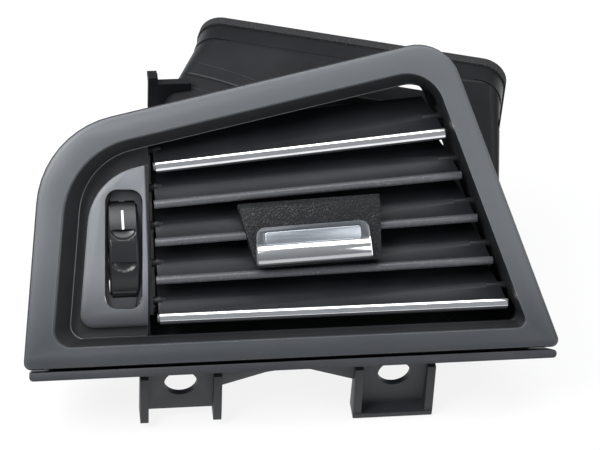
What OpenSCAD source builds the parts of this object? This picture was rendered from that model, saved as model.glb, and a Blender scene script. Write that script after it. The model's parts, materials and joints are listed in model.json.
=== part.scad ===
// Dashboard air vent for the driver's side of a saloon car: a leaning face bezel, five fanned
// slats with a sliding knob, seven upright vanes, a thumbwheel and a two-leaf shut-off in a duct.
// Millimetres. The origin lies midway between the two screw tabs, +Y to the rear, +Z up.

/* [Face bezel] */
// Lean of the face back from upright
face_lean = 42; // [38:1:45]
// Distance of the face plane in front of the screw tabs
face_front = 12; // [10:0.5:14]
// Height of the face plane's base line above the tab holes
face_base = 8; // [7:0.5:9]
// Lower left corner of the face, from the origin
face_left = 94.4; // [92:0.5:100]
// Lower right corner of the face, from the origin
face_right = 98; // [96:0.5:104]
// Lower edge of the face, up from the base line
face_low = 9.8; // [9:0.1:10.5]
// Height of the top edge above the base line, over the origin
face_top = 110.1; // [108:0.5:114]
// Inward lean of the left edge
left_lean = 6.6; // [4:0.2:8]
// Inward lean of the right edge
right_lean = 18.8; // [18:0.2:19.6]
// Rise of the top edge to the right
top_rise = 11.6; // [10:0.2:13]
// Width of the flat rim
rim_w = 8.9; // [8:0.1:10]
// Width of the rim along the lower edge
rim_low_w = 7.2; // [6:0.1:7.6]
// Wall of the bezel moulding
bezel_wall = 2; // [1.8:0.1:2.2]
// Depth of the bezel's outer skirt
skirt_depth = 14; // [13:0.5:18]
// Depth at which the sloping wall ends in a ridge
ridge_depth = 6; // [5:0.5:7]
// Depth of the floor round the control panel
floor_depth = 9.2; // [8.8:0.1:9.4]
// Depth of the control panel's surface
panel_depth = 7.6; // [7:0.1:8.4]
// Right edge of the control panel, left of the origin
panel_edge = 48.9; // [48:0.1:49.5]

/* [Slats] */
// Number of slats
slat_n = 5; // [5]
// Height of the lowest slat's front edge above the base line
slat_low = 24.6; // [24:0.2:27]
// Pitch of the slats at their left ends
slat_pitch_left = 13.45; // [13:0.05:13.6]
// Pitch of the slats at their right ends
slat_pitch_right = 15.5; // [15:0.1:15.8]
// Depth of the slats' front edges behind the face
slat_depth = 7.6; // [7.2:0.1:8]
// Chord of a slat from front to rear
slat_chord = 18.6; // [17.6:0.2:19]
// Rise of a slat to the rear at rest
slat_rise = 12; // [10:1:13]
// Plate thickness of a slat
slat_t = 1.8; // [1.4:0.1:2.2]
// Radius of the bead along a slat's front edge
bead_r = 1.5; // [1.2:0.1:1.6]
// Distance of the pivot behind the front edge
pivot_back = 9.2; // [9:0.2:9.8]
// Radius of a slat's pivot pins
pivot_r = 1.4; // [1.2:0.05:1.6]
// Length of the crank that the link bar holds
crank_len = 6.5; // [6:0.1:7]
// Radius of a crank pin
crank_pin_r = 1.1; // [0.9:0.05:1.2]
// Thickness of the slat link bar
link_t = 1; // [0.8:0.1:1.2]
// Thickness of the bearing strips at the slat ends
strip_t = 1.4; // [1.2:0.1:1.6]

/* [Knob] */
// Width of the knob's black body at its top
knob_w = 52; // [42:0.5:54]
// Width of its chrome cap
cap_w = 41.8; // [34:0.2:42]
// Height of the chrome cap
cap_h = 13.4; // [12:0.2:16]
// Height of the black body above the slat's front edge
knob_up = 12.6; // [8:0.2:12.8]

/* [Vanes] */
// Number of upright vanes
vane_n = 7; // [7]
// Pitch of the vanes
vane_pitch = 14; // [13.6:0.1:14.2]
// Room between the slats' rear edges and the vanes
vane_room = 3.7; // [3.4:0.1:4.2]
// Reach of a vane in front of its pivot
vane_front = 8; // [7:0.2:8.4]
// Reach of a vane behind its pivot
vane_rear = 7; // [6:0.2:7.4]
// Plate thickness of a vane
vane_t = 1.4; // [1.2:0.1:1.8]
// Lower end of the vanes above the base line
vane_low = 41; // [40.8:0.1:42]
// Upper end of the vanes above the base line
vane_high = 78; // [77:0.5:79]
// Radius of a vane's pivot pins
vane_pin_r = 1.2; // [1:0.05:1.4]

/* [Thumbwheel] */
// Radius of the thumbwheel
wheel_r = 27; // [26:0.5:28]
// Width of the thumbwheel
wheel_w = 10.4; // [9.6:0.2:11]
// Middle of the wheel, left of the origin
wheel_x = 57.5; // [57.2:0.1:58]
// Middle of the wheel above the base line
wheel_up = 50.8; // [50:0.2:52]
// How far the wheel stands out of the control panel
wheel_proud = 2.2; // [1.5:0.1:3]
// Width of the wheel's slot
slot_w = 13.3; // [13:0.1:13.8]
// Length of the wheel's slot
slot_h = 42.4; // [41:0.2:44]
// Radius of the wheel's axle
axle_r = 2; // [1.6:0.1:2.4]
// Length of the wheel's crank and of the leaf cranks
drive_crank = 9; // [8:0.2:9.4]

/* [Duct] */
// Wall of the housing and the duct
duct_wall = 1.8; // [1.6:0.1:2]
// Floor of the duct, inside
duct_floor = 10; // [9.6:0.1:10.4]
// Ceiling of the duct at the mouth, inside
duct_ceiling = 60; // [59:0.5:62]
// Left corner of the duct's mouth, left of the origin
mouth_left = 22.3; // [20:0.5:26]
// The same corner, behind the screw tabs
mouth_back = 131; // [129:0.5:134]
// Width of the duct's mouth
mouth_w = 118; // [115:0.5:120]
// Slant of the mouth, its right end nearer
mouth_slant = 17.3; // [16.5:0.1:18]
// Corner radius of the mouth
mouth_r = 9; // [7:0.5:11]
// Length of the straight collar at the mouth
mouth_collar = 9; // [7:0.5:12]
// Thickness of the foam seal round the mouth
seal_t = 4; // [3:0.5:6]

/* [Screw tabs] */
// Distance between the two tab holes
tab_pitch = 77.4; // [76:0.2:80]
// Radius of a tab hole
tab_hole_r = 5.9; // [5:0.1:6.2]
// Width of a tab
tab_w = 28.9; // [27:0.1:30]
// Thickness of a tab plate
tab_t = 2.4; // [2:0.1:3]
// Bottom of the left tab below its hole's middle
tab_drop = 12.8; // [11:0.2:14]
// Extra drop of the right tab's foot
tab_foot = 2.6; // [2:0.2:4]

/* [Fits] */
// Radial clearance of a pin that turns in its bearing
run_fit = 0.1; // [0.06:0.01:0.1]
// Radial clearance of the link bars' loose holes
loose_fit = 0.3; // [0.25:0.05:0.4]
// Gap beside the slats, vanes and other moving plates
side_gap = 2.6; // [2.4:0.1:3]

/* [Hidden] */
eps = 0.01;
arc_n = 10;
$fn = 32;

// A unit vector, and the rounding of a polygon's corners by true arcs
function unit(a) = a / norm(a);
function corner_arc(a, p, b, r) =
    let (u = unit(a - p), w = unit(b - p), half = acos(u * w) / 2,
         c = p + unit(u + w) * r / sin(half),
         s = p + u * r / tan(half) - c, e = p + w * r / tan(half) - c,
         from = atan2(s[1], s[0]), turn = atan2(s[0] * e[1] - s[1] * e[0], s * e))
    [for (i = [0 : arc_n]) c + r * [cos(from + turn * i / arc_n), sin(from + turn * i / arc_n)]];
function rounded(p, r) =
    let (n = len(p))
    [for (i = [0 : n - 1]) each corner_arc(p[(i + n - 1) % n], p[i], p[(i + 1) % n], r[i])];

// The face's four edge lines, each moved inward by its own inset: left, low, right, top
tan_l = tan(left_lean);
tan_r = tan(right_lean);
tan_t = tan(top_rise);
function left_x(v, inset) = -face_left + inset / cos(left_lean) + (v - face_low) * tan_l;
function right_x(v, inset) = face_right - inset / cos(right_lean) - (v - face_low) * tan_r;
function top_v(x, inset) = face_top - inset / cos(top_rise) + x * tan_t;
function top_left(il, it) =
    let (v = (top_v(0, it) + (left_x(0, il)) * tan_t) / (1 - tan_l * tan_t)) [left_x(v, il), v];
function top_right(ir, it) =
    let (v = (top_v(0, it) + (right_x(0, ir)) * tan_t) / (1 + tan_r * tan_t)) [right_x(v, ir), v];
function face_quad(il, ib, ir, it) =
    [[left_x(face_low + ib, il), face_low + ib], [right_x(face_low + ib, ir), face_low + ib],
     top_right(ir, it), top_left(il, it)];

// Places in the face frame: x, v up the face, depth behind it
p0 = [0, -face_front, face_base];
function to_world(x, v, d) = [x, p0[1] + v * sin(face_lean) + d * cos(face_lean),
    p0[2] + v * cos(face_lean) - d * sin(face_lean)];
module on_face() { translate(p0) rotate([90 - face_lean, 0, 0]) children(); }
module slab(depth, t) { translate([0, 0, -depth - t]) linear_extrude(t) children(); }

// Outlines of the face
ridge_left = 15.4;
ridge_top = 13.2;
ridge_low = 10;
ridge_right = rim_w + 0.5;
housing_top = 9.4;
panel_lean = 2.2;
module outer_outline(i = 0) {
    polygon(rounded(face_quad(i, i, i, i), [2.6, 2.6, 16 - i, 34 - i]));
}
module rim_outline(i = 0) {
    polygon(rounded(face_quad(rim_w + i, rim_low_w + i, rim_w + i, rim_w + i), [6, 3, 14, 30]));
}
module ridge_outline(i = 0) {
    polygon(rounded(face_quad(ridge_left + i, ridge_low + i, ridge_right + i, ridge_top + i),
        [5, 3, 11, 24]));
}
module right_of_panel(gap = 0) {
    translate([-panel_edge + gap, wheel_up]) rotate(-panel_lean) translate([0, -100])
        square([300, 200]);
}
module left_of_panel(gap = 0) {
    translate([-panel_edge - gap, wheel_up]) rotate(-panel_lean) translate([-300, -100])
        square([300, 200]);
}
module panel_outline(i = 0) {
    intersection() {
        polygon(rounded(face_quad(18.4 + i, 13.4 + i, 10, 19.2 + i), [5, 3, 11, 22]));
        left_of_panel();
    }
}
module wheel_slot_outline(i = 0) {
    translate([-wheel_x, wheel_up]) rotate(-panel_lean)
        polygon(rounded([[-slot_w / 2 - i, -slot_h / 2 - i], [slot_w / 2 + i, -slot_h / 2 - i],
            [slot_w / 2 + i, slot_h / 2 + i], [-slot_w / 2 - i, slot_h / 2 + i]],
            [4.5, 4.5, 4.5, 4.5]));
}

// The four screws that hold the housing to bosses behind the rim
screw_r = 1.1;
screw_len = 9;
boss_r = 2.4;
ear_t = 2;
boss_top = 4.9;
boss_low = 5;
screw_top_x = [-34, 30];
screw_low_x = [-30, 50];
module at_screws() {
    for (x = screw_top_x) translate([x, top_v(x, boss_top), 0]) children();
    for (x = screw_low_x) translate([x, face_low + boss_low, 0]) children();
}

// The slat pivots in the face frame
slat_x0 = -panel_edge - 0.1 + strip_t + link_t + 0.7;
slat_lean = face_lean + slat_rise;
pivot_v = pivot_back * sin(slat_lean);
pivot_d = slat_depth + pivot_back * cos(slat_lean);
housing_right = rim_w - 1.3;
vane_depth = pivot_d + slat_chord - pivot_back + vane_room + vane_front;
frame_half = 2.4;
housing_depth = vane_depth + frame_half + 1.6;
function slat_v_left(i) = slat_low + i * slat_pitch_left;
function slat_v_right(i) = slat_low + 0.3 + i * slat_pitch_right;
function wall_x(v) = right_x(v, housing_right);
function slat_end(i) = wall_x(slat_v_right(i) + pivot_v) - strip_t - side_gap;
function slat_slope(i) =
    atan2(slat_v_right(i) - slat_v_left(i), slat_end(i) - slat_x0);
function slat_len(i) = (slat_end(i) - slat_x0) / cos(slat_slope(i));
front_taper = 11;
rear_taper = 20;
top_corner = 48;

// Puts children in a slat's frame: x along the pivot axis, y to the rear, z up
module on_slat(i) {
    on_face() translate([slat_x0, slat_v_left(i) + pivot_v, -pivot_d])
        rotate([0, 0, slat_slope(i)]) rotate([slat_lean - 90, 0, 0]) children();
}
module along_x(r, x0, x1, n = 32) {
    translate([x0, 0, 0]) rotate([0, 90, 0]) cylinder(r = r, h = x1 - x0, $fn = n);
}

// Crank direction of the slats in the slat frame
crank_dir = -74;
crank_y = crank_len * cos(crank_dir);
crank_z = crank_len * sin(crank_dir);
link_x0 = -link_t - 0.5;

module bezel() {
    color("dimgray") on_face() difference() {
        union() {
            difference() {
                hull() {
                    slab(0, eps) outer_outline(1.8);
                    slab(0.6, eps) outer_outline(0.5);
                    slab(2, skirt_depth - 2) outer_outline();
                }
                hull() {
                    slab(-eps, eps) rim_outline();
                    slab(ridge_depth, eps) ridge_outline();
                }
                slab(ridge_depth, floor_depth - ridge_depth) ridge_outline();
                slab(floor_depth - 1, 30) intersection() {
                    ridge_outline();
                    right_of_panel();
                }
                slab(bezel_wall + 0.4, 30) difference() {
                    outer_outline(bezel_wall);
                    rim_outline(-bezel_wall);
                }
                slab(ridge_depth + bezel_wall, 30) difference() {
                    outer_outline(bezel_wall);
                    ridge_outline(-bezel_wall);
                }
                slab(floor_depth + bezel_wall, 30) ridge_outline(-bezel_wall - 0.1);
            }
            hull() {
                slab(panel_depth, eps) panel_outline(1.2);
                slab(panel_depth + 0.5, floor_depth - panel_depth) panel_outline(0.2);
            }
            slab(panel_depth + 1, housing_front - panel_depth - 1) difference() {
                wheel_slot_outline(1.3);
                wheel_slot_outline();
            }
            at_screws() translate([0, 0, -housing_front]) cylinder(r = boss_r,
                h = housing_front - bezel_wall);
        }
        slab(-1, 40) wheel_slot_outline();
        at_screws() translate([0, 0, -housing_front - 1]) cylinder(r = screw_r,
            h = screw_len - ear_t + 1.5);
    }
}

// Tab shapes in the plane of the screw tabs
rib_t = 3;
rib_forward = 5;
rail_v0 = 5.9;
rail_v1 = 8.9;
rail_x0 = face_left - 2;
rail_x1 = face_right - 2;
tab_top = to_world(0, rail_v0, skirt_depth)[2] + 1.2;
module tab(side, foot) {
    low = -tab_drop - foot;
    translate([side * tab_pitch / 2, 0, 0]) {
        translate([-tab_w / 2, 0, low]) cube([tab_w, tab_t, tab_top - low]);
        for (x = [-tab_w / 2 - 0.2, tab_w / 2 - rib_t + 0.2]) translate([x, 0, 0])
            rotate([90, 0, 90]) linear_extrude(rib_t)
                polygon([[-rib_forward, low - 2], [tab_t + 0.3, low - 2],
                    [tab_t + 0.3, tab_top + 0.6], [-2.5, tab_top + 0.6], [-rib_forward, low + 1]]);
        if (foot > 0) translate([-tab_w / 2, -rib_forward - 0.4, low - 1.8])
            cube([tab_w, rib_forward + tab_t, 2]);
    }
}
arch_x = tab_pitch / 2 - tab_w / 2 + 0.5;
module lower_rail() {
    color("darkslategray") difference() {
        union() {
            on_face() {
                slab(1.2, skirt_depth + 0.8) polygon(rounded([[-rail_x0, rail_v0],
                    [rail_x1, rail_v0], [rail_x1, rail_v1], [-rail_x0, rail_v1]],
                    [1.4, 1.4, 1.4, 1.4]));
                slab(skirt_depth + 0.2, 2) polygon([[-rail_x0 + 6, rail_v0 + 0.2],
                    [rail_x1 - 6, rail_v0 + 0.2], [rail_x1 - 8, rail_v1 + 2.6],
                    [-rail_x0 + 8, rail_v1 + 2.6]]);
            }
            translate([0, tab_t - 0.2, 0]) rotate([90, 0, 0]) linear_extrude(tab_t - 0.4)
                polygon([[-arch_x, tab_top + 0.3], [-arch_x, -2.6], [-8, 3.4], [-3, 4.2],
                    [3, 4.4], [8, 3.8], [arch_x, -2.6], [arch_x, tab_top + 0.3]]);
            tab(-1, 0);
            tab(1, tab_foot);
        }
        for (s = [-1, 1]) translate([s * tab_pitch / 2, tab_t + 1, 0]) rotate([90, 0, 0])
            cylinder(r = tab_hole_r, h = tab_t + 2, $fn = 64);
    }
}

// The housing: a box square to the face, cut off level at its floor
housing_front = floor_depth + bezel_wall + 0.05;
wall_left = -panel_edge - 0.1;
module housing_outline(i = 0) {
    low = face_low + ridge_low - 0.4 - i;
    polygon(rounded([[wall_left - i, low], [wall_x(low) + i / cos(right_lean), low],
        top_right(housing_right - i, housing_top - i), [wall_left - i,
        top_v(wall_left - i, housing_top - i)]], [1, 1, 10 + i, 0.8 + i]));
}
module above_floor(z) { translate([-200, -60, z]) cube([400, 260, 200]); }
module left_pivots(r) {
    for (i = [0 : slat_n - 1]) on_slat(i) along_x(r, -9, 0);
}
module right_pivots(r) {
    for (i = [0 : slat_n - 1]) on_slat(i) along_x(r, slat_len(i), slat_len(i) + 9);
}
module front_housing() {
    color("black") difference() {
        union() {
            intersection() {
                on_face() slab(housing_front, housing_depth - housing_front)
                    housing_outline(duct_wall);
                above_floor(duct_floor - duct_wall);
            }
            on_face() slab(housing_front, ear_t) {
                at_screws() circle(r = boss_r + 0.6);
                for (x = screw_top_x) translate([x - boss_r - 0.6, top_v(x, housing_top + 1)])
                    square([2 * boss_r + 1.2, housing_top + 1 - boss_top]);
                for (x = screw_low_x) translate([x - boss_r - 0.6, face_low + boss_low])
                    square([2 * boss_r + 1.2, ridge_low - boss_low - 1]);
            }
        }
        on_face() at_screws() translate([0, 0, -housing_front - ear_t - 1])
            cylinder(r = screw_r + 0.3, h = ear_t + 2);
        intersection() {
            on_face() slab(0, 60) housing_outline();
            above_floor(duct_floor);
        }
        right_pivots(pivot_r + 0.4);
    }
}

// The duct's mouth frame: x along the mouth, y outward through it
module at_mouth() {
    translate([-mouth_left, mouth_back, 0]) rotate([0, 0, -mouth_slant]) children();
}
module mouth_outline(i = 0) {
    z0 = duct_floor - duct_wall + i;
    z1 = duct_ceiling + duct_wall - i;
    polygon(rounded([[i, z0], [mouth_w - i, z0], [mouth_w - i, z1], [i, z1]],
        [for (k = [0 : 3]) mouth_r - i]));
}
module mouth_slab(y0, y1) {
    at_mouth() translate([0, y1, 0]) rotate([90, 0, 0]) linear_extrude(y1 - y0) children();
}
vane_mid = 5.4;
neck_gap = 2.2;
neck_left = vane_x(1) - vane_rear - neck_gap;
module neck_outline(i = 0) {
    intersection() {
        housing_outline(duct_wall - i);
        translate([neck_left + i, 0]) square([200, 200]);
    }
}
leaf_y = -15;
leaf_half = 11.9;
leaf_shaft_r = 2.2;
leaf_z = [duct_floor + (duct_ceiling - duct_floor) / 4,
    duct_ceiling - (duct_ceiling - duct_floor) / 4];
module at_leaf(k) { at_mouth() translate([0, leaf_y, leaf_z[k]]) children(); }
module rear_duct() {
    color("black") difference() {
        union() {
            intersection() {
                on_face() slab(housing_depth, duct_wall) housing_outline(duct_wall + 1.2);
                above_floor(duct_floor - duct_wall - 1.2);
            }
            hull() {
                intersection() {
                    on_face() slab(housing_depth + 0.2, 1) neck_outline();
                    above_floor(duct_floor - duct_wall);
                }
                mouth_slab(-mouth_collar, -mouth_collar + 1) mouth_outline();
            }
            mouth_slab(-mouth_collar + 0.3, 0) mouth_outline(-0.4);
            at_leaf(0) along_x(leaf_shaft_r + 2.2, -4.5, 1.7);
            hook_clip();
        }
        hull() {
            intersection() {
                on_face() slab(housing_depth - 0.4, 1) neck_outline(duct_wall);
                above_floor(duct_floor);
            }
            mouth_slab(-mouth_collar + 0.6, -mouth_collar + 2) mouth_outline(duct_wall);
        }
        mouth_slab(-mouth_collar + 1.2, 1) mouth_outline(duct_wall - 0.2);
        on_face() slab(0, housing_depth + 0.05) housing_outline(duct_wall + 0.3);
        at_leaf(0) along_x(leaf_shaft_r + run_fit, -12, mouth_w + 12);
        at_leaf(1) along_x(leaf_shaft_r + run_fit, -12, mouth_w + 12);
    }
}
module hook_clip() {
    translate([-44.5, 96, 48]) {
        cube([16, 3, 12]);
        translate([0, 0, 11]) cube([3.6, 3, 4]);
        translate([0, 0, 11]) cube([3.6, 7, 2]);
    }
}
module mouth_seal() {
    color("dimgray") mouth_slab(0, seal_t) difference() {
        mouth_outline(-1);
        mouth_outline(duct_wall + 1);
    }
}

module left_bearing_strip() {
    color("gray") difference() {
        on_face() slab(housing_front + 0.1, 8) polygon([[wall_left + 0.1, slat_v_left(0) + pivot_v - 5],
            [wall_left + strip_t, slat_v_left(0) + pivot_v - 5],
            [wall_left + strip_t, slat_v_left(slat_n - 1) + pivot_v + 2.6],
            [wall_left + 0.1, slat_v_left(slat_n - 1) + pivot_v + 2.6]]);
        left_pivots(pivot_r + run_fit);
    }
}
module right_bearing_strip() {
    v0 = slat_v_right(0) + pivot_v - 5;
    v1 = slat_v_right(slat_n - 1) + pivot_v + 4;
    color("gray") difference() {
        on_face() slab(housing_front + 0.1, 8) polygon([[wall_x(v0) - strip_t, v0],
            [wall_x(v0) - 0.1, v0], [wall_x(v1) - 0.1, v1], [wall_x(v1) - strip_t, v1]]);
        right_pivots(pivot_r + run_fit);
    }
}

// One slat: a plate with a front bead, a tapered right end, pivot pins and a crank
module slat(i) {
    n = slat_len(i);
    rear = slat_chord - pivot_back;
    corner = i == slat_n - 1 ? [top_corner, 0.62 * rear] : [0.4, 0.4];
    color("dimgray") on_slat(i) {
        translate([0, 0, -slat_t / 2]) linear_extrude(slat_t)
            polygon([[0, 0.4 - pivot_back], [n + (pivot_back - 0.4) * tan(front_taper),
                0.4 - pivot_back], [n, 0], [n - rear * tan(rear_taper), rear],
                [corner[0], rear], [0, rear - corner[1]]]);
        translate([0, -pivot_back + bead_r, 0])
            along_x(bead_r, -0.6, n + (pivot_back - bead_r) * tan(front_taper) + 0.6);
        along_x(pivot_r, -slat_pin_left, pin_root);
        along_x(pivot_r, n - pin_root - 2, n + slat_pin_right);
        hull() {
            along_x(pivot_r + 0.5, 0, 1.4);
            translate([0, crank_y, crank_z]) along_x(crank_pin_r + 0.6, 0, 1.4);
        }
        translate([0, crank_y, crank_z]) along_x(crank_pin_r, link_x0 + 0.05, 0.2);
    }
}
pin_root = 3;
slat_pin_left = slat_x0 - wall_left - 0.2;
slat_pin_right = side_gap + strip_t + 0.6;
trim_r = bead_r + 0.9;
module trim_strip(i) {
    n = slat_len(i);
    color("gainsboro") on_slat(i) difference() {
        translate([0, -pivot_back + bead_r, 0])
            along_x(trim_r, 0.2, n + (pivot_back - bead_r) * tan(front_taper));
        translate([0, -pivot_back + bead_r, 0]) along_x(bead_r, -2, n + 6);
        translate([-2, -pivot_back + bead_r + 0.3, -5]) cube([n + 10, 10, 10]);
    }
}
module slat_link() {
    a = slat_v_left(0) + pivot_v;
    b = slat_v_left(slat_n - 1) + pivot_v;
    dv = crank_y * sin(slat_lean) + crank_z * cos(slat_lean);
    dd = crank_y * cos(slat_lean) - crank_z * sin(slat_lean);
    color("gray") difference() {
        on_face() translate([slat_x0 + link_x0, 0, 0]) hull() for (v = [a, b])
            translate([0, v + dv, -pivot_d - dd]) along_x(crank_pin_r + 1, 0, link_t);
        for (i = [0 : slat_n - 1]) on_slat(i) translate([0, crank_y, crank_z])
            along_x(crank_pin_r + loose_fit, link_x0 - 2, 1);
    }
}

// The knob rides on the third slat from below, in the slat's frame
knob_i = 2;
knob_mid = 9.1;
cap_mid = 9.3;
knob_s = (knob_mid - slat_x0) / cos(slat_slope(knob_i));
cap_s = (cap_mid - slat_x0) / cos(slat_slope(knob_i));
knob_fit = 0.35;
fork_gap = 1.4;
fork_reach = 19;
fork_root = 8.6;
fork_t = 1.8;
fork_s = (vane_mid - slat_x0) / cos(slat_slope(knob_i))
    + 12 * sin(face_lean) * tan(slat_slope(knob_i));
module on_knob() {
    on_slat(knob_i) translate([0, -pivot_back, 0]) rotate([90 - slat_lean, 0, 0]) children();
}
knob_lowest = -(slat_pitch_left + slat_pitch_right) / 2 + bead_r + 2.3;
knob_lean = 4.9;
knob_undercut = 1.3;
module knob_section(z, low, up, side) {
    translate([knob_s, 0, z]) linear_extrude(eps) polygon(rounded(
        [[-knob_w / 2 + knob_lean + side, low], [knob_w / 2 - 1 - side, low],
        [knob_w / 2 - side, up], [-knob_w / 2 + side, up]], [1.5, 1.5, 0.8, 0.8]));
}
module knob_body() {
    color("black") difference() {
        union() {
            on_knob() hull() {
                knob_section(3, knob_lowest, knob_up - 1.6, 0.6);
                knob_section(0, knob_lowest + knob_undercut, knob_up, 0);
                knob_section(-1.6, knob_lowest + 3 * knob_undercut, knob_up - 1, 0.3);
            }
            on_slat(knob_i) translate([knob_s - 16, 0.4 - pivot_back, -3.2])
                cube([32, 7.6, 5.8]);
            on_slat(knob_i) translate([fork_s, 0, 0]) rotate([-slat_rise, 0, 0])
                translate([0, 0, -slat_t / 2 - knob_fit - fork_t]) {
                for (s = [-1, 1]) translate([s * (fork_gap + 0.8) - 0.8, 0, 0])
                    cube([1.6, fork_reach, fork_t]);
                translate([-fork_gap - 1.6, -5, 0])
                    cube([2 * fork_gap + 3.2, fork_root + 5, fork_t]);
            }
        }
        on_slat(knob_i) {
            translate([0, -pivot_back + bead_r, 0]) along_x(bead_r + knob_fit, -5, 150);
            translate([-5, -pivot_back + bead_r, -slat_t / 2 - knob_fit])
                cube([160, 40, slat_t + 2 * knob_fit]);
        }
    }
}
module cap_outline(i = 0) {
    w = cap_w / 2 - i;
    v0 = cap_low + i;
    v1 = cap_low + cap_h - i;
    polygon(rounded([[-w, v0], [w, v0], [w - 0.8, v1], [-w + 0.8, v1]], [1, 1, 3.2 - i, 3.2 - i]));
}
cap_z = 3.02;
cap_low = knob_lowest + 0.9;
cap_t = 2;
band_v = cap_low + 0.27 * cap_h;
insert_v = cap_low + 0.7 * cap_h;
insert_half = 2.3;
insert_t = 0.5;
module knob_cap() {
    color("silver") on_knob() translate([cap_s, 0, cap_z]) difference() {
        union() {
            linear_extrude(cap_t) cap_outline();
            intersection() {
                translate([0, band_v, -1.8])
                    along_x(5.4, -cap_w / 2 + 0.6, cap_w / 2 - 0.6, 48);
                linear_extrude(8) cap_outline(0.4);
            }
        }
        translate([0, insert_v, cap_t - insert_t]) linear_extrude(8) insert_outline(-0.15);
    }
}
module insert_outline(i = 0) {
    w = cap_w / 2 - 3.6 - i;
    h = insert_half - i;
    polygon(rounded([[-w, -h], [w, -h], [w, h], [-w, h]], [for (k = [0 : 3]) 1.1]));
}
module knob_insert() {
    color("lightgray") on_knob() translate([cap_s, insert_v, cap_z + cap_t - insert_t])
        linear_extrude(insert_t) insert_outline();
}

// One vane: a plate square to the face with pivot pins and a crank pin at its top
function vane_x(k) = vane_mid + (k - (vane_n + 1) / 2) * vane_pitch;
rail_t = 2;
pin_len = 1.7;
vane_gap = 0.4;
link_back = 6;
rod_r = 0.8;
rod_reach = 10.8;
rod_v0 = 57.5;
rod_v1 = 76;
toe = 2.8;
toe_back = 3.4;
module on_vane(k) { on_face() translate([vane_x(k), 0, -vane_depth]) children(); }
module up_face(r, v0, v1) {
    translate([0, v0, 0]) rotate([-90, 0, 0]) cylinder(r = r, h = v1 - v0);
}
module vane(k) {
    color("dimgray") on_vane(k) {
        difference() {
            translate([-vane_t / 2, 0, 0]) rotate([90, 0, 90]) linear_extrude(vane_t)
                polygon([[vane_low - toe, toe_back], [vane_low - toe, vane_front],
                    [vane_high, vane_front], [vane_high, -vane_rear],
                    [vane_low + 4, -vane_rear], [vane_low, 1 - vane_rear + 2.4],
                    [vane_low, toe_back]]);
            if (k == (vane_n + 1) / 2) translate([-5, rod_v0, 0.5])
                cube([10, rod_v1 - rod_v0, 20]);
        }
        up_face(vane_pin_r, vane_low - vane_gap - pin_len, vane_high + vane_gap + pin_len);
        up_face(vane_pin_r + 0.6, vane_low, vane_high);
        translate([0, 0, -link_back]) up_face(crank_pin_r, vane_high - 1, vane_high + 2.2);
        if (k == (vane_n + 1) / 2) {
            translate([0, 0, rod_reach]) up_face(rod_r, rod_v0 - 2, rod_v1 + 2);
            for (v = [rod_v0 - 2, rod_v1]) translate([-vane_t / 2, v, vane_front - 1])
                cube([vane_t, 2, rod_reach - vane_front + 1]);
        }
    }
}
module vane_link() {
    color("gray") difference() {
        on_face() translate([0, vane_high + 0.5, -vane_depth - link_back]) hull()
            for (k = [1, vane_n]) translate([vane_x(k), 0, 0]) up_face(crank_pin_r + 1, 0, 1.5);
        for (k = [1 : vane_n]) on_vane(k) translate([0, 0, -link_back])
            up_face(crank_pin_r + run_fit, vane_high - 1, vane_high + 4);
    }
}
module vane_frame_outline(i = 0) {
    lo = vane_low - vane_gap - rail_t + i;
    hi = vane_high + vane_gap + rail_t - i;
    polygon([[wall_left + 0.2 + i, lo], [wall_x(lo) - 0.3 - i, lo], [wall_x(hi) - 0.3 - i, hi],
        [wall_left + 0.2 + i, hi]]);
}
module vane_frame() {
    color("dimgray") difference() {
        on_face() slab(vane_depth - frame_half, 2 * frame_half) difference() {
            vane_frame_outline();
            vane_frame_outline(rail_t);
        }
        for (k = [1 : vane_n]) on_vane(k)
            up_face(vane_pin_r + run_fit, vane_low - 9, vane_high + 9);
    }
}

// The thumbwheel: its axle lies along x, its upper half is the rolling surface
wheel_d = panel_depth - wheel_proud + wheel_r;
wheel_c = to_world(-wheel_x, wheel_up, wheel_d);
wheel_front = 138;
scallop_turns = [-4, 14];
scallop_out = 3.4;
scallop_side = 2.6;
scallop_r = 5;
drive_dir = -127.5;
drive_y = drive_crank * cos(drive_dir);
drive_z = drive_crank * sin(drive_dir);
module at_wheel() { translate(wheel_c) children(); }
module thumbwheel() {
    color("black") at_wheel() difference() {
        union() {
            difference() {
                along_x(wheel_r, -wheel_w / 2, wheel_w / 2, 96);
                rotate([8, 0, 0]) translate([-20, -60, -80]) cube([40, 60, 80]);
                rotate([4, 0, 0]) translate([-20, -2, -80]) cube([40, 80, 80]);
                for (s = [-1, 1]) difference() {
                    translate([s * wheel_w / 2, 0, 0]) along_x(wheel_r - 2.5, -3, 3, 64);
                    along_x(6, -20, 20);
                    for (a = [20, 90, 160]) rotate([a, 0, 0]) translate([-10, 0, -0.8])
                        cube([20, 40, 1.6]);
                }
            }
            along_x(axle_r + 2, -wheel_w / 2, wheel_w / 2);
            hull() {
                along_x(4, -wheel_w / 2, -wheel_w / 2 + 2);
                translate([0, drive_y, drive_z]) along_x(2.6, -wheel_w / 2, -wheel_w / 2 + 2);
            }
            translate([0, drive_y, drive_z])
                along_x(drive_pin_r, drive_x - 0.4, -wheel_w / 2 + 1);
            rotate([wheel_front + 33, 0, 0]) translate([-wheel_w / 2 + 1.2, wheel_r - 1, -0.8])
                cube([wheel_w - 2.4, 1.5, 1.6]);
        }
        along_x(axle_r + run_fit, -20, 20);
        for (a = scallop_turns) rotate([wheel_front + a, 0, 0])
            translate([0, wheel_r + scallop_out, scallop_side]) sphere(r = scallop_r, $fn = 32);
    }
}
bracket_room = 6.6;
module wheel_axle() {
    color("silver") at_wheel()
        along_x(axle_r, 1 - wheel_w / 2 - bracket_room, wheel_w / 2 + 1.2);
}
bracket_x = -wheel_x - wheel_w / 2 - bracket_room;
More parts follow.
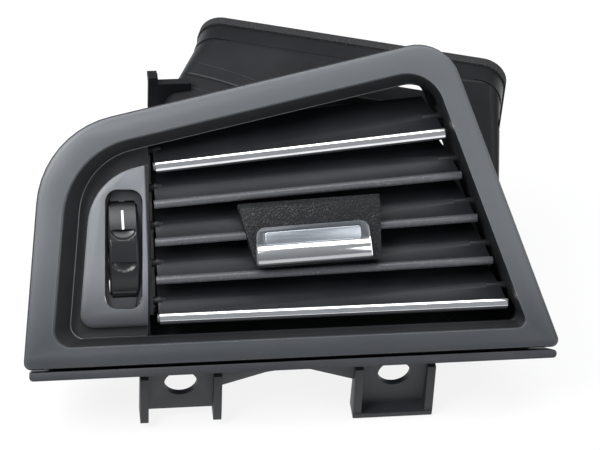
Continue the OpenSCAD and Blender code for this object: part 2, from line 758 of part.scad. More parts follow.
module wheel_bracket() {
    color("black") difference() {
        union() {
            translate([bracket_x, 0, 0]) rotate([90, 0, 90]) linear_extrude(2)
                polygon([[wheel_c[1] - 9, wheel_c[2] - 3], [wheel_c[1] - 6, wheel_c[2] - 6],
                    [wheel_c[1] + 6, wheel_c[2] - 6], [wheel_c[1] + 6, wheel_c[2] + 6],
                    bracket_foot(1), bracket_foot(-1)]);
            at_wheel() along_x(axle_r + 2.4, bracket_x + wheel_x, bracket_x + wheel_x + 3);
        }
        at_wheel() along_x(axle_r, -30, 30);
    }
}
function bracket_foot(s) =
    let (p = to_world(0, wheel_up + s * 7, housing_front)) [p[1], p[2]];
drive_x = -wheel_w / 2 - 2.6;
eye_t = 1.5;
eye_wall = 2;
drive_pin_r = 1.5;
leaf_crank_x = -7.5;
leaf_eye_x = leaf_crank_x - 0.4 - eye_t;
module at_leaf_pin(x) { at_leaf(0) translate([x, drive_y, drive_z]) children(); }
module drive_link() {
    color("gray") difference() {
        union() {
            at_wheel() translate([0, drive_y, drive_z])
                along_x(drive_pin_r + eye_wall, drive_x, drive_x + eye_t);
            at_leaf_pin(leaf_eye_x) along_x(drive_pin_r + 0.6 + eye_wall, 0, eye_t);
            hull() {
                at_wheel() translate([drive_x + eye_t / 2, drive_y + 3.4, drive_z])
                    sphere(r = 1.3, $fn = 16);
                at_leaf_pin(leaf_eye_x + eye_t / 2) translate([0, -3.8, 0])
                    sphere(r = 1.3, $fn = 16);
            }
        }
        at_wheel() translate([0, drive_y, drive_z]) along_x(drive_pin_r + run_fit, -60, 0);
        at_leaf_pin(0) along_x(drive_pin_r + 0.6, -60, 0);
    }
}

// A shut-off leaf; the lower one's shaft comes out of the duct to the drive link
leaf_x0 = 8;
inner_crank = 7;
inner_pin_r = 1.3;
inner_dir = -37.5;
inner_y = inner_crank * cos(inner_dir);
inner_z = inner_crank * sin(inner_dir);
module leaf(k) {
    right = k == 0 ? mouth_w - 6 : mouth_w - 22;
    color("dimgray") at_leaf(k) {
        translate([leaf_x0, -leaf_half, -1]) cube([right - leaf_x0, 2 * leaf_half, 2]);
        along_x(leaf_shaft_r, k == 0 ? leaf_crank_x : -2.6, right);
        if (k == 0) {
            hull() {
                along_x(4, leaf_crank_x, leaf_crank_x + 2);
                translate([0, drive_y, drive_z]) along_x(2.6, leaf_crank_x, leaf_crank_x + 2);
            }
            translate([0, drive_y, drive_z]) along_x(drive_pin_r, leaf_crank_x - 5.6, leaf_crank_x + 1);
        }
        hull() {
            along_x(3.4, leaf_x0 - 1.6, leaf_x0);
            translate([0, inner_y, inner_z]) along_x(2.2, leaf_x0 - 1.6, leaf_x0);
        }
        translate([0, inner_y, inner_z]) along_x(inner_pin_r, leaf_x0 - 4, leaf_x0 - 1);
    }
}
module leaf_link() {
    color("gray") difference() {
        hull() for (k = [0, 1]) at_leaf(k) translate([0, inner_y, inner_z])
            along_x(inner_pin_r + 1.3, leaf_x0 - 3.6, leaf_x0 - 2.2);
        for (k = [0, 1]) at_leaf(k) translate([0, inner_y, inner_z])
            along_x(inner_pin_r + run_fit, -20, 20);
    }
}
module housing_screws() {
    color("silver") on_face() at_screws() translate([0, 0, -housing_front - ear_t]) {
        cylinder(r = screw_r - 0.04, h = screw_len);
        translate([0, 0, -1.6]) difference() {
            cylinder(r = 2.3, h = 1.6);
            translate([0, 0, -0.1]) cylinder(r = 1, h = 0.9, $fn = 6);
        }
    }
}

bezel();
lower_rail();
front_housing();
rear_duct();
mouth_seal();
left_bearing_strip();
right_bearing_strip();
vane_frame();
wheel_bracket();
wheel_axle();
slat(4);  // slat_1
slat(3);  // slat_2
slat(2);  // slat_3
slat(1);  // slat_4
slat(0);  // slat_5
trim_strip(4);  // top_trim_strip
trim_strip(0);  // bottom_trim_strip
slat_link();
knob_body();
knob_cap();
knob_insert();
vane(1);  // vane_1
vane(2);  // vane_2
vane(3);  // vane_3
vane(4);  // vane_4
vane(5);  // vane_5
vane(6);  // vane_6
vane(7);  // vane_7
vane_link();
thumbwheel();
drive_link();
leaf(0);  // lower_leaf
leaf(1);  // upper_leaf
leaf_link();
housing_screws();
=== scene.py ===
import json
import math
import bmesh
import bpy
from mathutils import Matrix, Vector

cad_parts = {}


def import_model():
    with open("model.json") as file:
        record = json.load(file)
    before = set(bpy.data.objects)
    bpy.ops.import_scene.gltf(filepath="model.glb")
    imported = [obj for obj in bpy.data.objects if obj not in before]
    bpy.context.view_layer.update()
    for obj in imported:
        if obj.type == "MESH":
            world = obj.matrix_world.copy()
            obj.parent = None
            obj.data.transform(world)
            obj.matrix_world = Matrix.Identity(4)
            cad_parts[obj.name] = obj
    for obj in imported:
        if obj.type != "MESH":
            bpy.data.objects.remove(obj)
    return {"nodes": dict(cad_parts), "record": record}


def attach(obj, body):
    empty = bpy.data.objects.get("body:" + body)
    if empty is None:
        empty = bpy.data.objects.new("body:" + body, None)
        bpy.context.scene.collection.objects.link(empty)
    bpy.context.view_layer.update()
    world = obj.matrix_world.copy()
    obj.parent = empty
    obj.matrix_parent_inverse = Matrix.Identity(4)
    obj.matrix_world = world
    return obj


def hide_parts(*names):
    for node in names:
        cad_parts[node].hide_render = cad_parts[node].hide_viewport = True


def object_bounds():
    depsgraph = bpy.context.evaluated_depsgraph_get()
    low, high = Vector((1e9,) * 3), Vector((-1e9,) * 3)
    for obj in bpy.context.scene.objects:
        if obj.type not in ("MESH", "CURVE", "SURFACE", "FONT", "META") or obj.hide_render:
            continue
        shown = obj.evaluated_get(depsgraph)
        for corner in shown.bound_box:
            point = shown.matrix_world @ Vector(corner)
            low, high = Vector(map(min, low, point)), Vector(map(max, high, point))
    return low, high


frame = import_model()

cad_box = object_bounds()
MM = 0.001
MM_PER_M = 1000

# Places in the vent, in millimetres: x, v up the leaning face, d behind it
LEAN = math.radians(42)
FACE_FRONT, FACE_BASE = 12, 8


def on_face(x, v, d):
    return Vector((x, v * math.sin(LEAN) + d * math.cos(LEAN) - FACE_FRONT,
                   v * math.cos(LEAN) - d * math.sin(LEAN) + FACE_BASE)) * MM


# ---------- materials ----------
class Value:
    """A number in a material's tree, reckoned with as in Python."""

    def __init__(self, finish, socket):
        self.finish, self.socket = finish, socket

    def math(self, operation, a, b):
        node = self.finish.node("ShaderNodeMath", {"operation": operation}, {0: a, 1: b})
        return Value(self.finish, node.outputs[0])

    def __add__(self, other):
        return self.math("ADD", self, other)

    def __sub__(self, other):
        return self.math("SUBTRACT", self, other)

    def __rsub__(self, other):
        return self.math("SUBTRACT", other, self)

    def __mul__(self, other):
        return self.math("MULTIPLY", self, other)

    def __truediv__(self, other):
        return self.math("DIVIDE", self, other)

    __radd__ = __add__

    def rise(self, low, high):
        """0 below low, 1 above high, smooth between."""
        node = self.finish.node("ShaderNodeMapRange", {"interpolation_type": "SMOOTHSTEP"},
                                {"Value": self, "From Min": low, "From Max": high})
        return Value(self.finish, node.outputs["Result"])

    def band(self, low, high, soft):
        """1 between low and high, 0 outside, smooth over soft on both sides of each."""
        return self.rise(low - soft, low + soft) * (1 - self.rise(high - soft, high + soft))


class Finish:
    """A procedural material round one Principled shader."""

    def __init__(self, name, roughness=0.5, metallic=0.0, **fixed):
        self.material = bpy.data.materials.new(name)
        self.material.use_nodes = True
        self.tree = self.material.node_tree
        self.tree.nodes.clear()
        self.shader = self.node("ShaderNodeBsdfPrincipled", {},
                                {"Roughness": roughness, "Metallic": metallic})
        for socket, value in fixed.items():
            self.put(socket.replace("_", " "), value)
        self.out = self.node("ShaderNodeOutputMaterial", {}, {"Surface": self.shader.outputs[0]})
        self.place = self.node("ShaderNodeTexCoord").outputs["Object"]

    def node(self, kind, settings=None, sockets=None):
        made = self.tree.nodes.new(kind)
        for name, value in (settings or {}).items():
            setattr(made, name, value)
        for name, value in (sockets or {}).items():
            self.feed(made.inputs[name], value)
        return made

    def feed(self, socket, value):
        """Links a value to a socket, or sets the constant there."""
        if isinstance(value, Value):
            value = value.socket
        if isinstance(value, bpy.types.NodeSocket):
            self.tree.links.new(value, socket)
        elif socket.type == "RGBA":
            socket.default_value = (*value[:3], 1)
        else:
            socket.default_value = value

    def put(self, socket, value):
        self.feed(self.shader.inputs[socket], value)

    def colour(self, value):
        self.put("Base Color", value)

    def axis(self, name):
        return Value(self, self.node("ShaderNodeSeparateXYZ", {}, {0: self.place}).outputs[name])

    def up_face(self):
        """Millimetres up the leaning face and behind it."""
        y = self.axis("Y") * MM_PER_M + FACE_FRONT
        z = self.axis("Z") * MM_PER_M - FACE_BASE
        return (y * math.sin(LEAN) + z * math.cos(LEAN), y * math.cos(LEAN) - z * math.sin(LEAN))

    def forward(self):
        """1 on surfaces that look out of the leaning face, 0 on its flanks."""
        normal = self.node("ShaderNodeTexCoord").outputs["Normal"]
        part = self.node("ShaderNodeSeparateXYZ", {}, {0: normal})
        y, z = Value(self, part.outputs["Y"]), Value(self, part.outputs["Z"])
        return (z * math.sin(LEAN) - y * math.cos(LEAN)).rise(0.2, 0.35)

    def stretched(self, scale):
        """The place, stretched by an amount for each axis."""
        node = self.node("ShaderNodeMapping", {}, {"Vector": self.place, "Scale": scale})
        return node.outputs[0]

    def noise(self, per_metre, detail=3.0, rough=0.55, place=None):
        node = self.node("ShaderNodeTexNoise", {},
                         {"Vector": place or self.place, "Scale": per_metre, "Detail": detail,
                          "Roughness": rough})
        return Value(self, node.outputs["Fac"])

    def cells(self, per_metre, feature="F1"):
        node = self.node("ShaderNodeTexVoronoi", {"feature": feature},
                         {"Vector": self.place, "Scale": per_metre})
        return Value(self, node.outputs["Distance"])

    def mixed(self, share, first, second):
        node = self.node("ShaderNodeMix", {"data_type": "RGBA"}, {0: share, 6: first, 7: second})
        return node.outputs[2]

    def bump(self, height, depth_mm):
        node = self.node("ShaderNodeBump", {},
                         {"Strength": 1.0, "Distance": depth_mm * MM, "Height": height})
        self.put("Normal", node.outputs[0])


def moulded(name, dark, light, roughness, grain_per_m, grain_mm, **fixed):
    """Moulded plastic: cloudy tone, fine spark-eroded grain, faint rub marks."""
    f = Finish(name, **fixed)
    cloud = f.noise(42, 3)
    grain = f.noise(grain_per_m, 2, 0.6)
    rub = f.noise(900, 2, place=f.stretched((0.15, 1, 1)))
    f.colour(f.mixed(cloud.rise(0.3, 0.7) * 0.6 + rub.rise(0.55, 0.8) * 0.4, dark, light))
    f.put("Roughness", roughness + (cloud - 0.5) * 0.08 + (grain - 0.5) * 0.12)
    f.bump(grain * 0.8 + rub * 0.2, grain_mm)
    return f


def satin_paint():
    """Graphite paint: satin on rim and control panel, with painted light that lightens rim and
    panel up the face, painted shade that makes the sloping wall and the deep recess near black,
    and a painted highlight along the ridge.

    The bands say where each area of the bezel lies, in millimetres behind its face."""
    wall_from, behind_from = (0.5, 1.1), (9.3, 10.5)
    ridge_band, panel_band = (5.75, 6.1), (6.9, 8.7)
    panel_left, panel_right = -95, -49.2
    f = Finish("graphite_paint", Specular_IOR_Level=0.34)
    up, deep = f.up_face()
    x = f.axis("X") * MM_PER_M
    fine = f.noise(5200, 2, 0.6)
    cloud = f.noise(38, 2)
    wall = deep.rise(*wall_from)
    forward = f.forward()
    panel = x.band(panel_left, panel_right, 0.4) * deep.band(*panel_band, 0.2) * forward
    ridge = deep.band(*ridge_band, 0.12) * (1 - panel) * forward
    behind = deep.rise(*behind_from)
    # painted light: the rim's tone goes from dark low on the face to light high on it
    height = ((up + cloud * 8) / 100).rise(0.05, 0.62)
    rim = f.mixed(height, (0.030, 0.033, 0.0375), (0.086, 0.092, 0.100))
    # painted shade: near-black tone for the sloping wall inside the rim
    dark = f.mixed(cloud.rise(0.3, 0.7), (0.0035, 0.0042, 0.005), (0.006, 0.007, 0.008))
    # painted light: the control panel's tone goes from dark low on the face to light high on it
    face = f.mixed(((up + cloud * 6) / 100).rise(0.20, 0.50), (0.020, 0.022, 0.025),
                   (0.150, 0.158, 0.170))
    tone = f.mixed(wall, rim, dark)
    # painted highlight: a pale line along the ridge
    tone = f.mixed(ridge * 0.8, tone, (0.16, 0.17, 0.18))
    tone = f.mixed(panel, tone, face)
    # painted shade: near black deep in the recess behind the panel
    f.colour(f.mixed(behind, tone, (0.008, 0.009, 0.010)))
    f.put("Roughness", 0.38 + (cloud - 0.5) * 0.08 + (fine - 0.5) * 0.14
          + wall * (1 - panel) * 0.2)
    f.bump(fine, 0.035)
    return f


def slat_satin():
    """Satin black slats; the front bead is paler with a painted highlight and has white painted
    glints.
    """
    bead_back = (8.0, 8.7)  # where the bead ends, in millimetres behind the face
    f = Finish("slat_plastic", Specular_IOR_Level=0.3)
    _, deep = f.up_face()
    cloud = f.noise(42, 3)
    fine = f.noise(3200, 2, 0.6)
    # painted glints: white specks on the bead
    spark = f.cells(2600).rise(0.30, 0.05) * f.noise(900, 2).rise(0.5, 0.62)
    bead = 1 - deep.rise(*bead_back)
    tone = f.mixed(cloud.rise(0.3, 0.7), (0.0075, 0.0085, 0.010), (0.012, 0.0135, 0.0155))
    # painted highlight: the bead paler than the plate
    tone = f.mixed(bead, tone, (0.066, 0.069, 0.074))
    f.colour(f.mixed(bead * spark * 0.8, tone, (0.55, 0.56, 0.58)))
    f.put("Roughness", 0.42 + (cloud - 0.5) * 0.08 + (fine - 0.5) * 0.12 - bead * 0.17)
    f.bump(fine, 0.04)
    return f


def leather_grain():
    """Black grained plastic of the knob's body, with small white painted glints on the grain's
    tops.
    """
    f = Finish("grained_black", Specular_IOR_Level=0.28)
    big = f.cells(800, "DISTANCE_TO_EDGE")
    small = f.cells(2100, "DISTANCE_TO_EDGE")
    soft = f.noise(260, 3)
    height = big.rise(0.0, 0.35) * 0.7 + small.rise(0.0, 0.3) * 0.3 + soft * 0.3
    # painted glints: white specks on the grain's tops
    glint = f.cells(1700).rise(0.22, 0.06) * f.noise(420, 2).rise(0.5, 0.64)
    tone = f.mixed(height.rise(0.3, 1.1), (0.005, 0.0056, 0.0064), (0.013, 0.0145, 0.0165))
    f.colour(f.mixed(glint * 0.85, tone, (0.34, 0.35, 0.36)))
    f.put("Roughness", 0.52 - height * 0.16)
    f.bump(height, 0.14)
    return f


def streaks(f):
    """Brushed streaks along x."""
    return f.noise(2600, 2, place=f.stretched((0.04, 1, 1)))


def polished(name, tint, roughness, brush=0.0):
    """Plated or satin metal with faint streaks along x and handling marks."""
    f = Finish(name, metallic=1.0)
    streak = streaks(f)
    smear = f.noise(120, 3)
    f.colour(f.mixed(smear.rise(0.35, 0.75), tint, tuple(c * 0.9 for c in tint)))
    f.put("Roughness", roughness + (smear - 0.4).rise(0, 0.4) * 0.07 + (streak - 0.5) * brush)
    f.bump(streak, 0.004 + 0.02 * brush)
    return f


def cap_plating():
    """The knob's cap: a satin frame round the insert, and a polished convex band below it, with a
    painted reflection fading from white at the top to grey lower down the band and painted shade
    along its lower edge.
    """
    cap_slope = 0.0387  # rise of the cap's lower edge for each millimetre along x
    frame_from, foot_shade_to, band_reflection_levels = (50.6, 51.0), (43.7, 44.5), (44.5, 49.5)
    f = Finish("cap_plating", metallic=1.0)
    up, _ = f.up_face()
    x = f.axis("X") * MM_PER_M
    level = up - x * cap_slope
    frame_part = level.rise(*frame_from)
    # painted shade: darker along the cap's lower edge
    foot = 1 - level.rise(*foot_shade_to)
    smear = f.noise(120, 3)
    # painted reflection: the band's tone goes from grey low down to white high up
    tone = f.mixed(level.rise(*band_reflection_levels), (0.50, 0.51, 0.53), (0.95, 0.96, 0.97))
    tone = f.mixed(frame_part, tone, (0.22, 0.235, 0.25))
    f.colour(f.mixed(foot * 0.7, tone, (0.20, 0.205, 0.215)))
    f.put("Roughness", 0.13 + frame_part * 0.18 + (smear - 0.4).rise(0, 0.4) * 0.06)
    f.bump(streaks(f), 0.006)
    return f


def open_foam():
    """Open-celled foam of the mouth's seal."""
    f = Finish("foam")
    pores = f.cells(1500)
    fibre = f.noise(3000, 3)
    f.colour(f.mixed(pores.rise(0.1, 0.6), (0.005, 0.005, 0.0055), (0.018, 0.018, 0.019)))
    f.put("Roughness", 0.9 - pores * 0.1)
    f.bump(pores + fibre * 0.5, 0.4)
    return f


def duct_gloss():
    """Smooth black moulding of the duct: flow lines, and curved creases over its top, darkened
    with painted shade.
    """
    f = Finish("duct_plastic", Specular_IOR_Level=0.22)
    x, y = f.axis("X") * MM_PER_M, f.axis("Y") * MM_PER_M
    cloud = f.noise(30, 3)
    flow = f.noise(160, 2, place=f.stretched((1, 0.2, 0.2)))
    fine = f.noise(4200, 2)
    bow = y + x * 0.55 + (x + 20) * (x + 20) * 0.006
    crease = (bow.band(88.6, 89.8, 0.5) + bow.band(95.5, 95.9, 0.3) * 0.35
              + bow.band(82.0, 82.4, 0.3) * 0.35)
    tone = f.mixed(cloud.rise(0.3, 0.75), (0.007, 0.0076, 0.0085), (0.013, 0.014, 0.0155))
    # painted shade: the creases darkened in colour
    f.colour(f.mixed(crease * 0.7, tone, (0.003, 0.003, 0.0035)))
    f.put("Roughness", 0.40 + (cloud - 0.5) * 0.12 + (flow - 0.5) * 0.08)
    f.bump(flow * 0.7 + fine * 0.15 - crease * 2.2, 0.1)
    return f


FINISHES = {
    "graphite_paint": satin_paint(),
    "dark_plastic": moulded("dark_plastic", (0.018, 0.0195, 0.022), (0.030, 0.032, 0.036), 0.5,
                            2600, 0.06, Specular_IOR_Level=0.4),
    "duct_plastic": duct_gloss(),
    "foam": open_foam(),
    "steel": polished("steel", (0.55, 0.56, 0.57), 0.3, 0.2),
    "slat_plastic": slat_satin(),
    "chrome_trim": polished("chrome_trim", (0.88, 0.89, 0.91), 0.10),
    "cap_plating": cap_plating(),
    "satin_silver": polished("satin_silver", (0.50, 0.535, 0.58), 0.34, 0.25),
    "grained_black": leather_grain(),
    "vane_plastic": moulded("vane_plastic", (0.075, 0.079, 0.084), (0.105, 0.110, 0.117), 0.48,
                            2800, 0.05, Specular_IOR_Level=0.4),
    "link_plastic": moulded("link_plastic", (0.20, 0.20, 0.195), (0.27, 0.27, 0.26), 0.45,
                            2400, 0.04),
    "wheel_rubber": moulded("wheel_rubber", (0.007, 0.0075, 0.0085), (0.013, 0.014, 0.0155), 0.30,
                            3000, 0.04, Specular_IOR_Level=0.45),
}
# The bezel's eased edges, lighter as a painted highlight and as thin worn paint, and the wheel's
# printed marks
EDGE = moulded("edge_wear_and_highlight", (0.24, 0.25, 0.262), (0.33, 0.342, 0.356), 0.32, 3000, 0.03)
MARK = moulded("white_print", (0.62, 0.63, 0.64), (0.74, 0.75, 0.76), 0.5, 3000, 0.02)

slot_of = {part["node"]: part["material_slot"] for part in frame["record"]["subparts"]}
body_of = {node: body for body, nodes in frame["record"]["behaviour"]["bodies"].items()
           for node in nodes}
for name, node in frame["nodes"].items():
    node.data.materials.clear()
    node.data.materials.append(FINISHES[slot_of[name]].material)


# ---------- pieces ----------
def linked(name, data):
    made = bpy.data.objects.new(name, data)
    bpy.context.scene.collection.objects.link(made)
    return made


def mesh_of(bm, name="shape"):
    mesh = bpy.data.meshes.new(name)
    bm.to_mesh(mesh)
    bm.free()
    return mesh


def smooth(mesh, angle=35):
    for polygon in mesh.polygons:
        polygon.use_smooth = True
    mesh.set_sharp_from_angle(angle=math.radians(angle))


def piece(name, mesh, body, slot, finish=None):
    """A finished piece that rides on a body and takes its finish from a slot."""
    made = linked(name, mesh)
    mesh.materials.append((finish or FINISHES[slot]).material)
    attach(made, body)
    return made


WELD_M = 2e-6
FLAT = math.radians(1.2)
EASE_FROM = math.radians(32)


def eased(node, width_mm, edge=None, finish=None):
    """The CAD node's shape with eased edges, standing for the node."""
    source = frame["nodes"][node]
    mesh = source.data.copy()
    mesh.materials.clear()
    bm = bmesh.new()
    bm.from_mesh(mesh)
    bmesh.ops.remove_doubles(bm, verts=bm.verts, dist=WELD_M)
    bmesh.ops.dissolve_limit(bm, angle_limit=FLAT, verts=bm.verts, edges=bm.edges)
    bm.to_mesh(mesh)
    bm.free()
    made = linked(node + "_eased", mesh)
    bevel = made.modifiers.new("ease", "BEVEL")
    bevel.width = width_mm * MM
    bevel.segments = 2
    bevel.limit_method = "ANGLE"
    bevel.angle_limit = EASE_FROM
    bevel.use_clamp_overlap = True
    bevel.miter_outer = "MITER_ARC"
    mesh.materials.append(FINISHES[finish or slot_of[node]].material)
    if edge:
        bevel.material = 1
        mesh.materials.append(edge.material)
    bpy.context.view_layer.update()
    shaped = bpy.data.meshes.new_from_object(
        made.evaluated_get(bpy.context.evaluated_depsgraph_get()))
    made.modifiers.clear()
    made.data = shaped
    smooth(shaped)
    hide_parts(node)
    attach(made, body_of[node])


# the bevel faces take the lighter edge tone: painted highlight and thin worn paint
eased("bezel", 0.35, edge=EDGE)
eased("lower_rail", 0.25)
eased("front_housing", 0.25)
for node in ("slat_1", "slat_2", "slat_3", "slat_4", "slat_5"):
    eased(node, 0.22)
eased("knob_body", 0.35)
eased("knob_cap", 0.3, finish="cap_plating")
eased("knob_insert", 0.2)


# ---------- thumbwheel ----------
# The axle's place, then the wheel's sizes in millimetres; turns are in degrees
WHEEL = (-57.5, 50.8, 32.4)
WHEEL_R, WHEEL_HALF = 27.0, 5.2
TREAD_HALF, TREAD_EASE, TREAD_UNDER = WHEEL_HALF - 0.5, 0.7, 0.22
HUB_R, HUB_HALF, CORE_R, WEB_HALF, RIM_INNER_R = 6, 2.4, 4, 2.2, 24.5
TURN_FROM, TURN_SPAN, TURN_STEPS, ACROSS_STEPS = -50, 184, 183, 34
SCALLOP_TOPS, SCALLOP_HALF, SCALLOP_LENGTH, SCALLOP_DEPTH = (14.4, -10.3), 4.4, 3.3, 1.25
PAD_TOP, PAD_HALF, PAD_LIFT = 7.0, 4.7, 0.12
RIDGE_TURNS, RIDGE_HALF, RIDGE_LIFT = (-37.8, -34.4), 4.3, 0.45
FRONT_TURN = 138
RIB_TURNS, RIB_FOOT_R, RIB_TOP_R = (20, 90, 160), 5, 24.8
CRANK_TURN, CRANK_REACH, CRANK_PIN_R, CRANK_PIN_END = FRONT_TURN + 127.5, 9, 1.5, -8.2
ARM_END_R, ARM_T = 2.6, 2


def at_wheel(x, radius, turn):
    """A place round the wheel's axle; turn is 0 at the face and grows up the face."""
    turn = math.radians(turn)
    return on_face(WHEEL[0] + x, WHEEL[1] + radius * math.sin(turn),
                   WHEEL[2] - radius * math.cos(turn))


def tread_drop(x, turn):
    """How far the tread lies under the full radius: two half-moon scallops, a pad, a ridge."""
    drop = 0.0
    for top in SCALLOP_TOPS:
        below = (top - turn) * math.radians(WHEEL_R)
        reach = (x / SCALLOP_HALF) ** 2 + (below / SCALLOP_LENGTH) ** 2
        if below >= 0 and reach < 1:
            drop = max(drop, SCALLOP_DEPTH * (1 - reach) ** 0.5)
    if SCALLOP_TOPS[1] < turn < PAD_TOP and abs(x) < PAD_HALF and drop == 0:
        drop = -PAD_LIFT
    if RIDGE_TURNS[0] < turn < RIDGE_TURNS[1] and abs(x) < RIDGE_HALF:
        drop = -RIDGE_LIFT
    return drop + TREAD_UNDER


def ring_mesh(rings, closed=False):
    """Skins equal loops of places into one closed mesh."""
    bm = bmesh.new()
    loops = [[bm.verts.new(place) for place in ring] for ring in rings]
    count = len(loops[0])
    pairs = list(zip(loops, loops[1:])) + ([(loops[-1], loops[0])] if closed else [])
    for a, b in pairs:
        for i in range(count):
            bm.faces.new((a[i], a[(i + 1) % count], b[(i + 1) % count], b[i]))
    if not closed:
        bm.faces.new(reversed(loops[0]))
        bm.faces.new(loops[-1])
    bmesh.ops.recalc_face_normals(bm, faces=bm.faces)
    return mesh_of(bm)


def joined(meshes):
    bm = bmesh.new()
    for mesh in meshes:
        bm.from_mesh(mesh)
    return mesh_of(bm)


def rod(radius, x0, x1, reach=0, turn=0, sides=40):
    """A cylinder along x; its middle lies reach from the wheel's axle, at a turn round it."""
    v, d = reach * math.sin(math.radians(turn)), reach * math.cos(math.radians(turn))
    angles = [2 * math.pi * k / sides for k in range(sides)]
    return ring_mesh([[on_face(WHEEL[0] + x, WHEEL[1] + v + radius * math.sin(a),
                               WHEEL[2] - d - radius * math.cos(a)) for a in angles]
                      for x in (x0, x1)])


def wheel_rim():
    """The web and the rim as one sector, with the shaped tread outside."""
    edge_r = WHEEL_R - TREAD_EASE
    across = [TREAD_HALF - 2 * TREAD_HALF * k / ACROSS_STEPS for k in range(ACROSS_STEPS + 1)]
    rings = []
    for k in range(TURN_STEPS + 1):
        turn = TURN_FROM + k * TURN_SPAN / TURN_STEPS
        loop = [(WEB_HALF, HUB_R), (WEB_HALF, RIM_INNER_R), (WHEEL_HALF, RIM_INNER_R),
                (WHEEL_HALF, edge_r)]
        loop += [(x, WHEEL_R - tread_drop(x, turn)) for x in across]
        loop += [(-WHEEL_HALF, edge_r), (-WHEEL_HALF, RIM_INNER_R), (-WEB_HALF, RIM_INNER_R),
                 (-WEB_HALF, HUB_R)]
        rings.append([at_wheel(x, radius, turn) for x, radius in loop])
    return ring_mesh(rings)


def wheel_rib(turn):
    """A rib from the hub, where it is 1.1 mm thick, to the rim, where it is 1.6 mm."""
    half = math.degrees(0.8 / 15)
    foot, top = half * 2, half * 0.6
    return ring_mesh([[at_wheel(x, radius, turn + side) for radius, side in
                       ((RIB_FOOT_R, -foot), (RIB_TOP_R, -top), (RIB_TOP_R, top),
                        (RIB_FOOT_R, foot))]
                      for x in (-WHEEL_HALF + 0.2, WHEEL_HALF - 0.2)])


def wheel_arm(steps=24):
    """The arm on the wheel's left flank that carries the drive link's pin."""
    middle = math.radians(CRANK_TURN)
    outline = []
    for k in range(steps):
        a = 2 * math.pi * k / steps
        centre, radius = (CRANK_REACH, ARM_END_R) if math.cos(a) > 0 else (0, CORE_R)
        outline.append((centre * math.sin(middle) + radius * math.sin(middle + a),
                        centre * math.cos(middle) + radius * math.cos(middle + a)))
    return ring_mesh([[on_face(WHEEL[0] + x, WHEEL[1] + v, WHEEL[2] - d) for v, d in outline]
                      for x in (-WHEEL_HALF, -WHEEL_HALF + ARM_T)])


def wheel_mark(turn0, turn1, half, steps=10):
    """A print on the tread, as a thin plate bent round the wheel."""
    above, below = 0.05, -0.1
    rings = []
    for k in range(steps + 1):
        turn = turn0 + (turn1 - turn0) * k / steps
        rings.append([at_wheel(x, WHEEL_R - TREAD_UNDER + lift, turn) for x, lift in
                      ((-half, above), (half, above), (half, below), (-half, below))])
    return ring_mesh(rings)


def thumbwheel():
    mesh = joined([wheel_rim(), rod(HUB_R, -HUB_HALF, HUB_HALF),
                   rod(CORE_R, -WHEEL_HALF, WHEEL_HALF), wheel_arm(),
                   rod(CRANK_PIN_R, CRANK_PIN_END, -WHEEL_HALF + 1, CRANK_REACH, CRANK_TURN)]
                  + [wheel_rib(FRONT_TURN - turn) for turn in RIB_TURNS])
    made = piece("thumbwheel_moulding", mesh, body_of["thumbwheel"], "wheel_rubber")
    smooth(made.data, 40)
    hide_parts("thumbwheel")
    marks = joined([wheel_mark(31.0, 15.2, 0.42), wheel_mark(40.8, 39.4, 0.95, 3)])
    piece("wheel_marks", marks, body_of["thumbwheel"], "wheel_rubber", MARK)


def slot_lip(steps=64):
    """The slot's inner lip: it closes in on the wheel, with a flank on each side of it."""
    lean = math.radians(-2.2)
    outer_half, outer_powers = (6.75, 21.3), (0.45, 0.28)
    inner_half = (WHEEL_HALF + 0.3, 17.2)
    lip_front, lip_back, flank_front, flank_back = 10.4, 11.2, 10.9, 21
    outer, inner = [], []
    for k in range(steps):
        a = 2 * math.pi * (k + 0.5) / steps
        u, v = (math.copysign(abs(part) ** power * half, part) for part, power, half in
                zip((math.cos(a), math.sin(a)), outer_powers, outer_half))
        outer.append((WHEEL[0] + u * math.cos(lean) - v * math.sin(lean),
                      WHEEL[1] + u * math.sin(lean) + v * math.cos(lean)))
        u, v = math.cos(a), math.sin(a)
        grow = 1 / max(abs(u) / inner_half[0], abs(v) / inner_half[1])
        inner.append((WHEEL[0] + u * grow, WHEEL[1] + v * grow))
    lip = ring_mesh([[on_face(x, v, d) for x, v in shape] for shape, d in
                     ((outer, lip_front), (outer, lip_back), (inner, lip_back),
                      (inner, lip_front))], closed=True)
    flanks = [ring_mesh([[on_face(WHEEL[0] + x, WHEEL[1] + v, d) for x, d in
                          ((x0, flank_front), (x1, flank_front), (x1, flank_back),
                           (x0, flank_back))]
                         for v in (-inner_half[1], inner_half[1])])
              for x0, x1 in ((-6.3, -5.5), (5.5, 6.3))]
    made = piece("slot_lip", joined([lip] + flanks), "vent_body", "dark_plastic")
    smooth(made.data)


thumbwheel()
slot_lip()


# ---------- stage, light, camera ----------
WHITE_SHARE = 0.86  # how much of the floor is plain white to the camera and to reflections


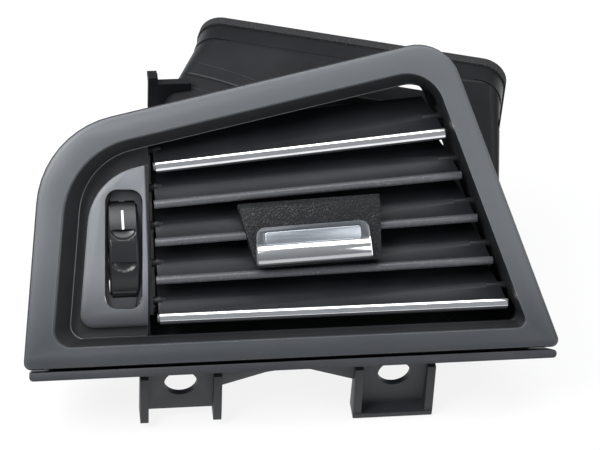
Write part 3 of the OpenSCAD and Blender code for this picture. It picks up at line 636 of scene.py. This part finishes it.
def stage():
    low = cad_box[0][2] - 0.4 * MM
    bm = bmesh.new()
    for corner in ((-3, -2.2), (3, -2.2), (3, 3.6), (-3, 3.6)):
        bm.verts.new((*corner, low))
    bm.faces.new(bm.verts)
    floor = linked("floor", mesh_of(bm, "floor"))
    f = Finish("pale_floor", roughness=0.85)
    f.colour(f.mixed(f.noise(9, 3), (0.84, 0.84, 0.845), (0.88, 0.88, 0.88)))
    path = f.node("ShaderNodeLightPath").outputs
    seen = Value(f, path["Is Camera Ray"]) + Value(f, path["Is Glossy Ray"]) \
        + Value(f, path["Is Transmission Ray"])
    white = f.node("ShaderNodeEmission", {}, {"Color": (1, 1, 1), "Strength": 1.0})
    mix = f.node("ShaderNodeMixShader", {}, {0: seen.rise(0, 1) * WHITE_SHARE,
                                             1: f.shader.outputs[0], 2: white.outputs[0]})
    f.feed(f.out.inputs["Surface"], mix.outputs[0])
    floor.data.materials.append(f.material)


def world():
    """A dim cool room for the light, and plain white where the camera looks past the part."""
    made = bpy.data.worlds.new("studio")
    bpy.context.scene.world = made
    made.use_nodes = True
    tree = made.node_tree
    tree.nodes.clear()
    path = tree.nodes.new("ShaderNodeLightPath")
    mix = tree.nodes.new("ShaderNodeMixShader")
    out = tree.nodes.new("ShaderNodeOutputWorld")
    for place, colour, strength in ((1, (0.93, 0.96, 1.0, 1), 0.34), (2, (1, 1, 1, 1), 1.0)):
        background = tree.nodes.new("ShaderNodeBackground")
        background.inputs["Color"].default_value = colour
        background.inputs["Strength"].default_value = strength
        tree.links.new(background.outputs[0], mix.inputs[place])
    tree.links.new(path.outputs["Is Camera Ray"], mix.inputs[0])
    tree.links.new(mix.outputs[0], out.inputs["Surface"])


AIM = (0, 0.03, 0.04)


def lamp(name, place, size, watts, tint=(1, 1, 1)):
    data = bpy.data.lights.new(name, "AREA")
    data.shape = "RECTANGLE"
    data.size, data.size_y = size
    data.energy = watts
    data.color = tint
    made = linked(name, data)
    made.location = place
    made.rotation_euler = (Vector(AIM) - Vector(place)).to_track_quat("-Z", "Y").to_euler()


stage()
world()
lamp("key", (-0.46, -0.12, 0.62), (0.42, 0.34), 6.5)
lamp("top", (0.0, 0.12, 1.05), (1.5, 0.5), 11, (0.97, 0.985, 1))
lamp("fill", (0.8, -0.7, 0.6), (0.6, 0.6), 3)

# The photo's view: angles, then pixels of a picture 600 wide, and the distance in metres
ELEVATION, AZIMUTH, ROLL = math.radians(42), math.radians(-9.5), math.radians(4.2)
FOCAL_PX, WIDTH_PX, SENSOR_MM = 2250.0, 600, 36
DISTANCE, ORIGIN_PX, CENTRE_PX = 0.810, (288, 378), (300, 225)


def camera():
    """Looks so that the frame's origin falls on ORIGIN_PX."""
    back = Vector((math.sin(AZIMUTH) * math.cos(ELEVATION),
                   -math.cos(AZIMUTH) * math.cos(ELEVATION), math.sin(ELEVATION)))
    level = Vector((math.cos(AZIMUTH), math.sin(AZIMUTH), 0))
    upward = back.cross(level)
    right = math.cos(ROLL) * level + math.sin(ROLL) * upward
    up = -math.sin(ROLL) * level + math.cos(ROLL) * upward
    across = (ORIGIN_PX[0] - CENTRE_PX[0]) / FOCAL_PX
    above = -(ORIGIN_PX[1] - CENTRE_PX[1]) / FOCAL_PX
    data = bpy.data.cameras.new("camera")
    data.sensor_fit = "HORIZONTAL"
    data.sensor_width = SENSOR_MM
    data.lens = FOCAL_PX / WIDTH_PX * SENSOR_MM
    data.clip_start = 0.01
    data.dof.use_dof = False
    made = linked("camera", data)
    place = -DISTANCE * (-back + across * right + above * up)
    made.matrix_world = (Matrix.Translation(place)
                         @ Matrix((right, up, back)).transposed().to_4x4())
    bpy.context.scene.camera = made


camera()
bpy.context.scene.view_settings.view_transform = "Standard"
